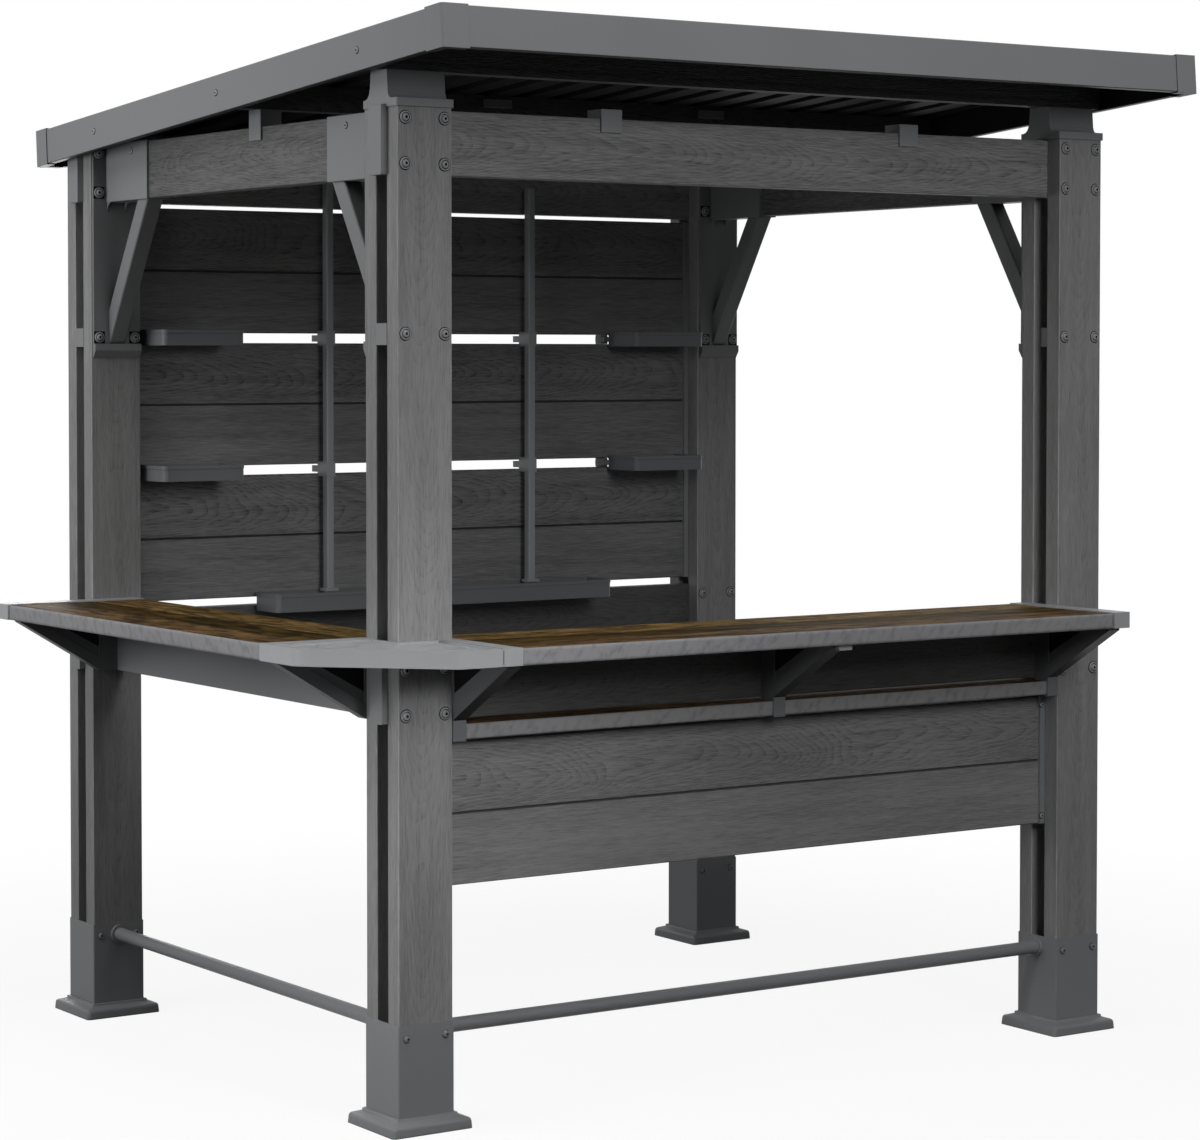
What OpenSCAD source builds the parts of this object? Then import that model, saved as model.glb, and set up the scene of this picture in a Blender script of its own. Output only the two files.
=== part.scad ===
// Garden bar gazebo: an open frame on four double-plank posts.
// It has a shed roof, a bar counter on two sides and a back wall with shelves.
// Units are millimetres. The front faces -Y, the open side faces +X.

/* [Posts] */
// Distance over the outer faces of the posts, along the front
span_w = 2023; // [1700:1:2600]
// Distance over the outer faces of the posts, front to back
span_d = 1639; // [1400:1:2200]
// Outer width of the square sleeve at a post foot
sleeve_w = 140; // [128:1:160]
// Wall of the post sleeve
sleeve_wall = 2; // [1.5:0.5:4]
// Height of the sleeve's top above the ground
sleeve_top = 234; // [180:1:300]
// Height of the post tops above the ground
post_top = 2200; // [2120:1:2400]
// How far a base cover reaches past the sleeve
base_over = 28; // [15:1:45]
// Height of the base cover
base_h = 34; // [26:1:50]
// Height of the cover's upright rim
base_rim_h = 13; // [8:1:16]
// Corner radius of that rim
base_rim_r = 10; // [4:1:16]
// Step from the rim to the sloping top
base_step = 3; // [2:0.5:6]
// How far the cover's neck reaches past the sleeve
base_neck = 5; // [3:1:10]
// Height of the neck
base_neck_h = 6; // [3:1:9]
// Radius of the long edges of planks, beams and panels
edge_r = 3; // [1:0.5:6]
// Radius of the sleeve's upright edges
sleeve_r = 3; // [2:0.5:4]
// Height of the spacer block in the post gap
spacer_z = 1692; // [1500:1:1800]
// Length of the spacer block
spacer_h = 47; // [30:1:80]
// Play between a spacer block and a panel channel
spacer_play = 1; // [0.5:0.5:4]

/* [Beams] */
// Thickness of the beams and rails held in the post gap
beam_t = 45; // [38:1:52]
// Height of the beams and rails
beam_h = 140; // [110:1:160]
// How far the beam ends lie below the post tops
beam_drop = 2.5; // [1:0.5:6]
// Length of the smooth sleeves on the side beams
cuff_l = 235; // [180:1:300]
// Side wall of those sleeves
cuff_wall = 6; // [3:0.5:9]
// Edge radius of those sleeves
cuff_r = 2; // [1:0.5:2.5]
// Radius of the gussets under a sleeve, at the knee plate
cuff_cove = 24; // [8:1:30]
// How far an end cap stands out of the post
cap_out = 16; // [8:1:30]
// How far an end cap laps over the beam's outline
cap_lap = 4; // [1:0.5:8]
// How far the front end caps rise into a notch of the cap plates
cap_rise = 5; // [2:0.5:9]
// Play around an end cap in that notch
cap_play = 1; // [0.5:0.5:3]
// Length of the cuff at the back end of the left apron
apron_cuff = 14; // [8:1:30]
// How far that cuff stands proud of the apron
apron_proud = 3; // [1:0.5:6]

/* [Knee braces] */
// Thickness of the plate on the post
knee_plate_t = 8; // [5:1:14]
// Side margin of the plate on the post
knee_margin = 4; // [2:1:15]
// Height of the plate's foot above the ground
knee_z = 1665; // [1500:1:1760]
// Height of the foot flange
knee_foot_h = 35; // [20:1:60]
// How far the foot flange stands off the post
knee_foot_t = 16; // [10:1:26]
// Distance along the beam from the plate to the strut
knee_reach = 162; // [100:1:240]
// Length of the strut's seat along the beam
knee_seat = 55; // [35:1:80]
// Width of the strut across the beam
knee_w = 45; // [30:1:52]
// Edge radius of the strut
knee_r = 5; // [2:0.5:10]
// Height of the sloping part under the foot flange
knee_slope = 18; // [8:1:24]
// Thickness of the foot at its lower edge
knee_toe = 4; // [2:1:8]

/* [Roof] */
// Overhang of the roof past the posts at the sides
roof_side = 54; // [20:1:140]
// Overhang of the roof at the front
roof_front = 273; // [120:1:400]
// Length of the roof along the slope
roof_l = 1980; // [1960:1:2080]
// Fall of the roof to the back, in degrees
roof_pitch = 4.36; // [3.6:0.02:4.6]
// Height of the front eave above the post tops
roof_rise = 99.5; // [98:0.5:130]
// Height of the fascia
fascia_h = 92; // [88:1:120]
// Thickness of the fascia
fascia_t = 22; // [10:1:35]
// Length of a corner piece of the fascia
corner_l = 66; // [45:1:120]
// How far the corner pieces stand proud of the fascia
corner_proud = 2; // [1:0.5:4]
// Radius of the corner pieces' upright edge
corner_r = 8; // [3:1:12]
// Height of the sheet's underside above the fascia's lower edge
sheet_lift = 70; // [66:0.5:76]
// Thickness of the roof sheet
sheet_t = 2.5; // [1.5:0.5:6]
// Height of the ribs on the sheet
rib_h = 12; // [6:1:14]
// Width of a rib's flat top
rib_w = 26; // [14:1:40]
// Width of a rib's sloping side
rib_side = 9; // [4:1:14]
// Number of ribs
rib_n = 20; // [8:1:22]
// Overhang of the cap plate on a front post
cap_over = 4; // [2:1:10]
// Thickness of the cap plate
cap_t = 18; // [10:1:30]
// Corner radius of the cap plate
cap_r = 5; // [2:1:10]
// Depth of the block on the cap plate, front to back
cap_block_d = 68; // [56:1:80]
// Middle of that block behind the front face of the posts
cap_block_y = 73; // [66:1:80]
// How far the block's front and back slope out to its foot
cap_slope = 5; // [0:0.5:8]
// Radius of the cove at the block's front foot
cap_cove = 14; // [6:1:20]
// Radius of the cove at the block's back foot
cap_cove_back = 22; // [8:1:24]
// Height of the block on the cap plate
cap_block_h = 62; // [40:1:70]
// Middle of the mid purlin behind the front face of the posts
mid_y = 712; // [500:1:900]
// Height of the mid purlin's underside above the beam
mid_lift = 40; // [25:1:48]
// Length of a clip on the mid purlin
clip_l = 77; // [40:1:100]
// Height of such a clip
clip_h = 20; // [10:1:40]
// How far it stands off the purlin
clip_t = 7; // [4:1:12]
// Distance of the clips from the middle of the front
clip_off = 319; // [200:1:450]

/* [Saddles] */
// Length of a beam saddle along the beam
saddle_l = 56; // [35:1:90]
// How far a saddle reaches down the beam's face
saddle_down = 31; // [15:1:60]
// Thickness of a saddle's cheek
saddle_t = 5; // [3:0.5:10]
// Height of the front saddles above the beam
saddle_up = 21; // [10:1:40]
// Distance of the front saddles from the middle of the front
saddle_off = 429; // [250:1:600]

/* [Counters] */
// Height of the top of the bar rails, where the counters lie
rail_top = 1020; // [940:1:1100]
// Thickness of the counters
counter_t = 36; // [28:1:50]
// How far the counters reach outside the posts
counter_out = 246; // [160:1:320]
// How far the counters reach inwards from the posts' outer faces
counter_in = 122; // [105:1:128]
// Width of a counter's outer plank
plank_out = 123; // [90:1:150]
// Width of a counter's middle plank
plank_mid = 111; // [90:1:140]
// Width of the joints between the planks
joint_w = 3; // [2:0.5:6]
// Depth of those joints
joint_d = 2; // [1:0.5:4]
// Width of the end strips
trim_w = 49; // [30:1:70]
// How far the end strips stand proud of the counters
trim_proud = 2; // [0.5:0.5:5]
// How far the tray and the end strips reach outside the posts
tray_out = 250; // [170:1:330]
// Where the tray ends along each counter
tray_end = 107; // [60:1:110]
// Rounding of the tray's two outer corners
tray_round = 34; // [15:1:50]
// Width of the tray's rim
tray_rim = 9; // [5:1:16]
// Depth of the tray inside its rim
tray_sink = 5; // [2:0.5:8]
// Width of a cup holder
cup_d = 96; // [70:1:104]
// Depth of a cup holder below the tray's floor
cup_depth = 24; // [10:1:27]
// Cup holder's distance outside the post
cup_out = 123; // [110:1:135]
// Cup holder's distance along the post
cup_along = 42; // [10:1:50]

/* [Counter brackets] */
// Width of a bracket
brk_w = 34; // [20:1:50]
// Thickness of a bracket's plate
brk_t = 4; // [3:0.5:7]
// How far a bracket reaches outside the posts
brk_out = 215; // [120:1:240]
// Height of a bracket
brk_h = 138; // [90:1:139]
// Height of the bracket's nose under the counter
brk_nose = 8; // [6:1:14]
// Width of the frame around a bracket's sunk field
brk_frame = 17; // [12:1:24]
// Depth of the sunk field
brk_sink = 2; // [1:0.5:2.5]
// Position of the middle bracket from the middle of the front
brk_mid = 13; // [-60:1:60]

/* [Front panel and shelf] */
// Thickness of the wall panels
panel_t = 30; // [20:1:38]
// Width of the groove between a panel's two boards
groove_w = 6; // [3:0.5:10]
// Depth of that groove
groove_d = 4; // [2:0.5:6]
// Height of the front panel
front_panel_h = 315; // [240:1:330]
// Height of the front panel's lower edge above the ground
front_panel_z = 515; // [490:1:520]
// Width of the channels at the panel ends
chan_w = 14; // [8:1:26]
// How far a channel reaches into the post gap
chan_in = 18; // [8:1:30]
// Distance of the bottle shelf below the counter brackets
shelf_gap = 9; // [4:1:14]
// Thickness of the bottle shelf
shelf_t = 33; // [20:1:36]
// Depth of the bottle shelf, front to back
shelf_d = 92; // [70:1:120]
// How far a shelf bracket laps below the shelf
shelf_lap = 4; // [2:0.5:6]
// How far a shelf bracket stands out in front of the shelf
shelf_front = 2; // [1:0.5:4]
// Length of the bottle opener
opener_l = 37; // [25:1:60]
// Depth of the bottle opener, front to back
opener_d = 14; // [10:1:24]
// Height of the bottle opener
opener_h = 13; // [8:1:20]
// Distance of the bottle opener in front of the bracket's nose
opener_gap = 2; // [1:0.5:6]
// Distance of the bottle opener from the bracket's left face
opener_side = 8; // [0:1:40]

/* [Back wall] */
// Slit between the top panel and the top beam
back_slit_top = 10.5; // [6:0.5:30]
// Slit over the back rail
back_slit_low = 20.5; // [12:0.5:26]
// Slit between two panels
back_slit = 25.5; // [15:0.5:28]

/* [Back shelves] */
// Distance of the poles from the middle of the wall
pole_off = 317; // [220:1:450]
// Width of a pole
pole_w = 21; // [14:1:30]
// Depth of a pole, front to back
pole_d = 25; // [14:1:34]
// Distance from a pole to the wall
pole_gap = 22; // [10:1:40]
// Radius of a pole's edges
pole_r = 4; // [1:0.5:6]
// Width of the collar at a pole's foot
pole_foot_w = 40; // [30:1:60]
// Height of that collar
pole_foot_h = 7; // [4:1:14]
// How far the poles reach above the lower edge of the back beam
pole_up = 70; // [20:1:130]
// Wall of a pole clamp
clamp_wall = 2.5; // [1.5:0.5:5]
// Height of a pole clamp
clamp_h = 40; // [32:1:60]
// Length of the long tray
long_l = 1050; // [800:1:1200]
// Depth of the long tray
long_d = 126; // [90:1:160]
// Height of the long tray
long_h = 48; // [36:1:60]
// Height of the long tray's underside below the rail's top
long_drop = 14; // [4:1:20]
// Length of a small tray
small_l = 234; // [150:1:260]
// Depth of a small tray
small_d = 146; // [100:1:180]
// Height of a small tray
small_h = 40; // [32:1:60]
// Distance of the left small trays from the back post
small_side = 18; // [12:1:60]
// Distance of the right small trays from the back post
small_side_r = 45; // [12:1:80]
// Width of the hooks of a small tray
hook_w = 22; // [12:1:40]
// How far a hook stands out beside the tray
hook_out = 16; // [0:1:17]
// Thickness of a hook, upright
hook_t = 14; // [6:1:18]
// Wall of the trays
tray_wall = 4; // [3:0.5:7]
// Corner radius of the trays
tray_r = 14; // [8:1:24]
// How far the rim band stands out of a tray's side
band_out = 1.5; // [0.5:0.5:2]
// Height of the rim band
band_h = 9; // [5:1:14]

/* [Foot rails] */
// Width of the foot rail tube
foot_d = 32; // [20:1:50]
// Height of the foot rails' axis above the ground
foot_z = 206; // [120:1:208]
// Width of the end collars
collar_d = 46; // [36:1:52]
// Length of the end collars
collar_l = 9; // [5:1:20]

/* [Hidden] */
$fn = 48;
plank_t = (sleeve_w - 2 * sleeve_wall - beam_t) / 2;
p0 = sleeve_wall;
p1 = sleeve_w - sleeve_wall;
g0 = p0 + plank_t;
g1 = g0 + beam_t;
gm = sleeve_w / 2;
beam_z1 = post_top - beam_drop;
beam_z0 = beam_z1 - beam_h;
rail_z0 = rail_top - beam_h;
right_x = span_w - sleeve_w;
back_y = span_d - sleeve_w;
in_w = span_w - 2 * p1;
in_d = span_d - 2 * p1;
cap_top = post_top + cap_t + cap_block_h;
eave_z = post_top + roof_rise;
roof_w = span_w + 2 * roof_side;
purlin_x0 = fascia_t - roof_side;
purlin_l = roof_w - 2 * fascia_t;
mid_z = beam_z1 + mid_lift;
x_lo = min(-tray_out, -counter_out, -roof_side, -base_over);
x_hi = span_w + max(roof_side, base_over, cap_out);
y_lo = min(-tray_out, -counter_out, -roof_front, -base_over);
y_hi = max(roof_l * cos(roof_pitch) + fascia_h * sin(roof_pitch) - roof_front, span_d + base_over);
org = [-(x_lo + x_hi) / 2, -(y_lo + y_hi) / 2, 0];
trim_h = counter_t + trim_proud;
counter_x0 = tray_end + trim_w;
counter_x1 = span_w - p1 - trim_w;
counter_y1 = span_d - p1 - trim_w;
brk_z = rail_top - brk_h;
shelf_z1 = brk_z - shelf_gap;
shelf_z0 = shelf_z1 - shelf_t;
shelf_b0 = shelf_z0 - shelf_lap;
brk_mid_x = span_w / 2 + brk_mid - brk_w / 2;
panel_f = gm - panel_t / 2;
wall_y = span_d - gm - panel_t / 2;
back_panel_h = (beam_z0 - back_slit_top - rail_top - back_slit_low - 2 * back_slit) / 3;
wall_z = [for (i = [0:2]) rail_top + back_slit_low + i * (back_panel_h + back_slit)];
slit_z = [for (i = [1:2]) wall_z[i] - back_slit / 2];
pole_y1 = wall_y - pole_gap;
pole_x = [span_w / 2 - pole_off, span_w / 2 + pole_off];
long_z = rail_top - long_drop;
long_x = (span_w - long_l) / 2;
small_x = [p1 + small_side, span_w - p1 - small_side_r - small_l];

// Height of the sheet's underside over a distance behind the posts' front face.
function sheet_z(y) = eave_z + sheet_lift / cos(roof_pitch) - (y + roof_front) * tan(roof_pitch);

// A box given by its two opposite corners.
module box(a, b) {
  translate(a)
    cube(b - a);
}

// A rectangle with rounded corners, from its low corner to its high one.
module pane(a, b, r) {
  for (q = [[r, 0], [0, r]])
    translate(a + q)
      square(b - a - 2 * q);
  for (x = [a[0] + r, b[0] - r])
    for (y = [a[1] + r, b[1] - r])
      translate([x, y])
        circle(r);
}

// Places its children at the four posts.
module at_posts() {
  for (x = [0, right_x])
    for (y = [0, back_y])
      translate([x, y, 0])
        children();
}

// Extrudes an outline drawn in Y and Z along X.
module along_x(x, l) {
  translate([x, 0, 0])
    rotate([90, 0, 90])
      linear_extrude(l)
        children();
}

// Extrudes an outline drawn in X and Z along Y.
module along_y(y, l) {
  translate([0, y + l, 0])
    rotate([90, 0, 0])
      linear_extrude(l)
        children();
}

// Moves its children into the sloping frame of the roof, from its front left lower corner.
module on_roof() {
  translate([-roof_side, -roof_front, eave_z])
    rotate([-roof_pitch, 0, 0])
      children();
}

module planks(x, y) {
  color("dimgray")
    translate(org + [x, y, 0]) {
      translate([0, 0, base_h])
        linear_extrude(post_top - base_h)
          pane([p0, p0], [p1, g0], edge_r);
      translate([0, 0, base_h])
        linear_extrude(post_top - base_h)
          pane([p0, g1], [p1, p1], edge_r);
    }
}

module front_left_post() {
  planks(0, 0);
}

module front_right_post() {
  planks(right_x, 0);
}

module back_left_post() {
  planks(0, back_y);
}

module back_right_post() {
  planks(right_x, back_y);
}

module post_spacers() {
  color("gray")
    translate(org)
      for (y = [0, back_y]) {
        box([p0, y + g0, spacer_z], [p1 - chan_in - spacer_play, y + g1, spacer_z + spacer_h]);
        box([right_x + p0 + chan_in + spacer_play, y + g0, spacer_z],
            [right_x + p1, y + g1, spacer_z + spacer_h]);
      }
}

module post_sleeves() {
  color("slategray")
    translate(org)
      at_posts()
        translate([0, 0, base_h])
          linear_extrude(sleeve_top - base_h)
            difference() {
              pane([0, 0], [sleeve_w, sleeve_w], sleeve_r);
              translate([p0, p0])
                square(p1 - p0);
            }
}

// An upright block around a post, reaching past the sleeve.
module cover(over, r, z0, z1) {
  translate([0, 0, z0])
    linear_extrude(z1 - z0)
      pane([-over, -over], [sleeve_w + over, sleeve_w + over], r);
}

// The sloping top of a base cover: the same outline from the side and from the front.
module cover_top() {
  o = base_over - base_step;
  n = base_neck;
  z = base_h - base_neck_h;
  pts = [[-o, base_rim_h], [sleeve_w + o, base_rim_h], [sleeve_w + n, z], [-n, z]];
  intersection() {
    along_x(-o, sleeve_w + 2 * o)
      polygon(pts);
    along_y(-o, sleeve_w + 2 * o)
      polygon(pts);
  }
}

module base_covers() {
  color("slategray")
    translate(org)
      at_posts() {
        cover(base_over, base_rim_r, 0, base_rim_h);
        cover_top();
        cover(base_neck, sleeve_r, base_h - base_neck_h, base_h);
      }
}

module front_top_beam() {
  color("dimgray")
    translate(org)
      along_x(p0, span_w - 2 * p0)
        pane([g0, beam_z0], [g1, beam_z1], edge_r);
}

module back_top_beam() {
  color("dimgray")
    translate(org + [0, back_y, 0])
      along_x(p0, span_w - 2 * p0)
        pane([g0, beam_z0], [g1, beam_z1], edge_r);
}

module left_top_beam() {
  color("dimgray")
    translate(org)
      along_y(p1, in_d)
        pane([g0, beam_z0], [g1, beam_z1], edge_r);
}

module right_top_beam() {
  color("dimgray")
    translate(org + [right_x, 0, 0])
      along_y(p1, in_d)
        pane([g0, beam_z0], [g1, beam_z1], edge_r);
}

// The smooth sleeve on a side beam, with two gussets under it, at a post that stands at y = 0.
module cuff() {
  zt = beam_z0 - beam_drop;
  yp = p1 + knee_plate_t;
  x0 = g0 - cuff_wall;
  along_y(p1, cuff_l)
    difference() {
      pane([x0, zt], [g1 + cuff_wall, post_top], cuff_r);
      translate([g0, beam_z0])
        square([beam_t, beam_h]);
    }
  for (x = [x0 + cuff_r, g1])
    along_x(x, cuff_wall - cuff_r)
      difference() {
        translate([yp, zt - cuff_cove])
          square(cuff_cove);
        translate([yp + cuff_cove, zt - cuff_cove])
          circle(cuff_cove);
      }
}

module beam_sleeves() {
  color("gray")
    translate(org)
      for (x = [0, right_x])
        translate([x, 0, 0]) {
          cuff();
          translate([0, span_d, 0])
            mirror([0, 1, 0])
              cuff();
        }
}

module end_cap(y, z, rise) {
  for (x = [p0 - cap_out, span_w - p0])
    along_x(x, cap_out)
      pane([y + g0 - cap_lap, z - cap_lap / 2], [y + g1 + cap_lap, z + beam_h + rise], edge_r);
}

module end_caps() {
  color("gray")
    translate(org) {
      end_cap(0, beam_z0, beam_drop + cap_rise);
      end_cap(back_y, beam_z0, 0);
      end_cap(0, rail_z0, 0);
      end_cap(back_y, rail_z0, 0);
    }
}

module front_bar_rail() {
  color("dimgray")
    translate(org)
      along_x(p0, span_w - 2 * p0)
        pane([g0, rail_z0], [g1, rail_top], edge_r);
}

module back_bar_rail() {
  color("dimgray")
    translate(org + [0, back_y, 0])
      along_x(p0, span_w - 2 * p0)
        pane([g0, rail_z0], [g1, rail_top], edge_r);
}

module left_apron() {
  color("gray")
    translate(org) {
      along_y(p1, in_d)
        pane([g0, rail_z0], [g1, rail_top], edge_r);
      along_y(span_d - p1 - apron_cuff, apron_cuff)
        pane([g0 - apron_proud, rail_z0 - apron_proud], [g1 + apron_proud, rail_top], edge_r);
    }
}

// A knee brace on the back face of a post that stands at y = 0.
module knee() {
  zt = beam_z0 - beam_drop;
  yp = p1 + knee_plate_t;
  z0 = knee_z + knee_foot_h;
  lean = atan2(zt - z0, knee_reach + knee_seat);
  thick = knee_seat * sin(lean);
  far = knee_reach + knee_seat + zt - z0;
  along_x(p0 + knee_margin, p1 - p0 - 2 * knee_margin)
    polygon([
      [p1, knee_z],
      [p1 + knee_toe, knee_z],
      [p1 + knee_foot_t, knee_z + knee_slope],
      [p1 + knee_foot_t, z0],
      [yp, z0],
      [yp, zt],
      [p1, zt]
    ]);
  for (x = [[p0 + knee_margin, g0 - cuff_wall], [g1 + cuff_wall, p1 - knee_margin]])
    box([x[0], p1, zt], [x[1], yp, post_top]);
  intersection() {
    translate([gm, yp, z0])
      rotate([lean - 90, 0, 0])
        translate([0, 0, -far])
          linear_extrude(2 * far)
            pane([-knee_w / 2, -thick], [knee_w / 2, 0], knee_r);
    box([0, p1 + knee_plate_t / 2, z0], [sleeve_w, yp + far, zt]);
  }
}

module knee_pair(x) {
  color("slategray")
    translate(org + [x, 0, 0]) {
      knee();
      translate([0, span_d, 0])
        mirror([0, 1, 0])
          knee();
    }
}

module left_knee_braces() {
  knee_pair(0);
}

module right_knee_braces() {
  knee_pair(right_x);
}

// A cap plate on a front post, and a block on it that spreads in coves at its foot.
module post_cap() {
  a = p0 - cap_over;
  b = p1 + cap_over;
  z = post_top + cap_t;
  y0 = cap_block_y - cap_block_d / 2;
  y1 = y0 + cap_block_d;
  f = y0 - cap_slope;
  k = y1 + cap_slope;
  difference() {
    translate([0, 0, post_top])
      linear_extrude(cap_t)
        pane([a, a], [b, b], cap_r);
    box([a - 1, g0 - cap_lap - cap_play, post_top - 1],
        [p0, g1 + cap_lap + cap_play, post_top + cap_rise + cap_play]);
  }
  along_x(a, b - a)
    difference() {
      union() {
        polygon([[f, z], [k, z], [y1, cap_top], [y0, cap_top]]);
        translate([f - cap_cove, z])
          square([cap_cove * 2, cap_cove]);
        translate([k - cap_cove_back, z])
          square([cap_cove_back * 2, cap_cove_back]);
      }
      translate([f - cap_cove, z + cap_cove])
        circle(cap_cove);
      translate([k + cap_cove_back, z + cap_cove_back])
        circle(cap_cove_back);
    }
}

module front_post_caps() {
  color("slategray")
    translate(org) {
      post_cap();
      translate([span_w, 0, 0])
        mirror([1, 0, 0])
          post_cap();
    }
}

module purlin(y0, y1, z) {
  along_x(purlin_x0, purlin_l)
    polygon([[y0, z], [y1, z], [y1, sheet_z(y1)], [y0, sheet_z(y0)]]);
}

module front_purlin() {
  color("dimgray")
    translate(org)
      purlin(g0, g1, cap_top);
}

module mid_purlin() {
  color("dimgray")
    translate(org)
      purlin(mid_y - beam_t / 2, mid_y + beam_t / 2, mid_z);
}

module rear_purlin() {
  color("dimgray")
    translate(org)
      purlin(back_y + g0, back_y + g1, beam_z1);
}

// The sheet's outline from below or above: flats with a sloping-sided rib in the middle of each.
function ribs(z) = [
  for (i = [0:rib_n - 1])
    for (d = [[-1, -1, 0], [-1, 0, rib_h], [1, 0, rib_h], [1, 1, 0]])
      [fascia_t + (i + 0.5) * purlin_l / rib_n + d[0] * rib_w / 2 + d[1] * rib_side, z + d[2]]
];
function sheet_line(z) = concat([[fascia_t, z]], ribs(z), [[roof_w - fascia_t, z]]);
function turned(v) = [for (i = [len(v) - 1:-1:0]) v[i]];

module roof_sheet() {
  color("darkslategray")
    translate(org)
      on_roof()
        along_y(fascia_t, roof_l - 2 * fascia_t)
          polygon(concat(sheet_line(sheet_lift), turned(sheet_line(sheet_lift + sheet_t))));
}

// Section of a fascia bar whose outer face looks to the low side.
module fascia_section() {
  pane([corner_proud, corner_proud], [fascia_t, fascia_h - corner_proud], edge_r);
}

module front_fascia() {
  color("gray")
    translate(org)
      on_roof()
        along_x(corner_l, roof_w - 2 * corner_l)
          fascia_section();
}

module back_fascia() {
  color("gray")
    translate(org)
      on_roof()
        translate([0, roof_l, 0])
          mirror([0, 1, 0])
            along_x(corner_l, roof_w - 2 * corner_l)
              fascia_section();
}

module side_fascias() {
  color("gray")
    translate(org)
      on_roof() {
        along_y(corner_l, roof_l - 2 * corner_l)
          fascia_section();
        translate([roof_w, 0, 0])
          mirror([1, 0, 0])
            along_y(corner_l, roof_l - 2 * corner_l)
              fascia_section();
      }
}

// Plan of a corner piece: an angle with a rounded outer corner.
module corner_plan() {
  r = corner_r;
  translate([r, 0])
    square([corner_l - r, fascia_t]);
  translate([0, r])
    square([fascia_t, corner_l - r]);
  translate([r, r])
    circle(r);
}

module fascia_corners() {
  color("slategray")
    translate(org)
      on_roof()
        for (a = [0, 1])
          for (b = [0, 1])
            translate([a * roof_w, b * roof_l, 0])
              mirror([a, 0, 0])
                mirror([0, b, 0])
                  linear_extrude(fascia_h)
                    corner_plan();
}

// A saddle over a beam along X, from its middle.
module saddle(up) {
  h = saddle_l / 2;
  w = beam_t / 2;
  box([-h, -w - saddle_t, 0], [h, w + saddle_t, up]);
  for (y = [-w - saddle_t, w])
    box([-h, y, -saddle_down], [h, y + saddle_t, 0]);
}

module beam_saddles() {
  color("gray")
    translate(org) {
      for (s = [-1, 1])
        translate([span_w / 2 + s * saddle_off, gm, beam_z1])
          saddle(saddle_up);
      for (x = [gm, span_w - gm])
        translate([x, mid_y, beam_z1])
          rotate(90)
            saddle(mid_lift);
      for (s = [-1, 1])
        translate([span_w / 2 + s * clip_off, mid_y - beam_t / 2, sheet_z(mid_y)])
          box([-clip_l / 2, -clip_t, -clip_h - clip_t], [clip_l / 2, 0, -clip_t]);
    }
}

// Section of a counter, from its outer edge: three planks with a joint between each two.
module counter_section() {
  z = rail_top + counter_t;
  h = joint_w / 2;
  joints = [plank_out, plank_out + plank_mid];
  polygon(concat(
    [[-counter_out, rail_top], [counter_in, rail_top], [counter_in, z]],
    [for (j = turned(joints)) for (d = [[h, 0], [0, -joint_d], [-h, 0]]) [j - counter_out + d[0], z + d[1]]],
    [[-counter_out, z]]
  ));
}

module front_counter() {
  color("peru")
    translate(org)
      along_x(counter_x0, counter_x1 - counter_x0)
        counter_section();
}

module left_counter() {
  color("peru")
    translate(org)
      along_y(counter_x0, counter_y1 - counter_x0)
        counter_section();
}

// The strip beside the corner tray; swap gives the one on the left counter.
module joiner(swap) {
  pts = [
    [tray_end, -tray_out],
    [counter_x0, -tray_out],
    [counter_x0, counter_in],
    [p1, counter_in],
    [p1, p0],
    [tray_end, p0]
  ];
  translate([0, 0, rail_top])
    linear_extrude(trim_h)
      polygon([for (p = pts) swap ? [p[1], p[0]] : p]);
}

module counter_trims() {
  color("lightslategray")
    translate(org) {
      joiner(false);
      joiner(true);
      box([counter_x1, -tray_out, rail_top], [span_w - p1, counter_in, rail_top + trim_h]);
      box([-tray_out, counter_y1, rail_top], [counter_in, span_d - p1, rail_top + trim_h]);
    }
}

// Outline of the corner tray, pulled in by r all round, with its two outer corners rounded.
module tray_outline(r) {
  o = tray_out - r;
  c = r * (sqrt(2) - 1);
  q = tray_round - r;
  t = q * tan(22.5);
  d = t / sqrt(2);
  polygon([
    [-o, tray_end - r],
    [-o, c + t],
    [-o + d, c - d],
    [c - d, -o + d],
    [c + t, -o],
    [tray_end - r, -o],
    [tray_end - r, p0 - r],
    [p0 - r, p0 - r],
    [p0 - r, tray_end - r]
  ]);
  for (p = [[q - o, c + t], [c + t, q - o]])
    translate(p)
      circle(q);
}

module corner_tray() {
  floor_z = rail_top + trim_h - tray_sink;
  color("silver")
    translate(org)
      difference() {
        translate([0, 0, rail_top])
          linear_extrude(trim_h)
            tray_outline(0);
        translate([0, 0, floor_z])
          linear_extrude(tray_sink + 1)
            tray_outline(tray_rim);
        for (p = [[-cup_out, cup_along], [cup_along, -cup_out]])
          translate([p[0], p[1], floor_z - cup_depth])
            cylinder(d = cup_d, h = cup_depth + 1);
      }
}

// Outlines of a bracket: u runs outwards from the posts' outer face, v is the height.
module brk_web() {
  polygon([
    [g0, rail_top],
    [g0, brk_z],
    [p0, brk_z],
    [-brk_out, rail_top - brk_nose],
    [-brk_out, rail_top]
  ]);
}

module brk_edge() {
  t = brk_t;
  difference() {
    brk_web();
    polygon([
      [g0 - t, rail_top - t],
      [g0 - t, brk_z + t],
      [p0 + t, brk_z + t],
      [-brk_out + 4 * t, rail_top - t]
    ]);
  }
}

// The sunk field of a bracket's web.
module brk_field() {
  f = brk_frame;
  polygon([
    [p0 - brk_t, rail_top - f],
    [p0 - brk_t, brk_z + 2 * f],
    [4 * f - brk_out, rail_top - f]
  ]);
}

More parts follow.
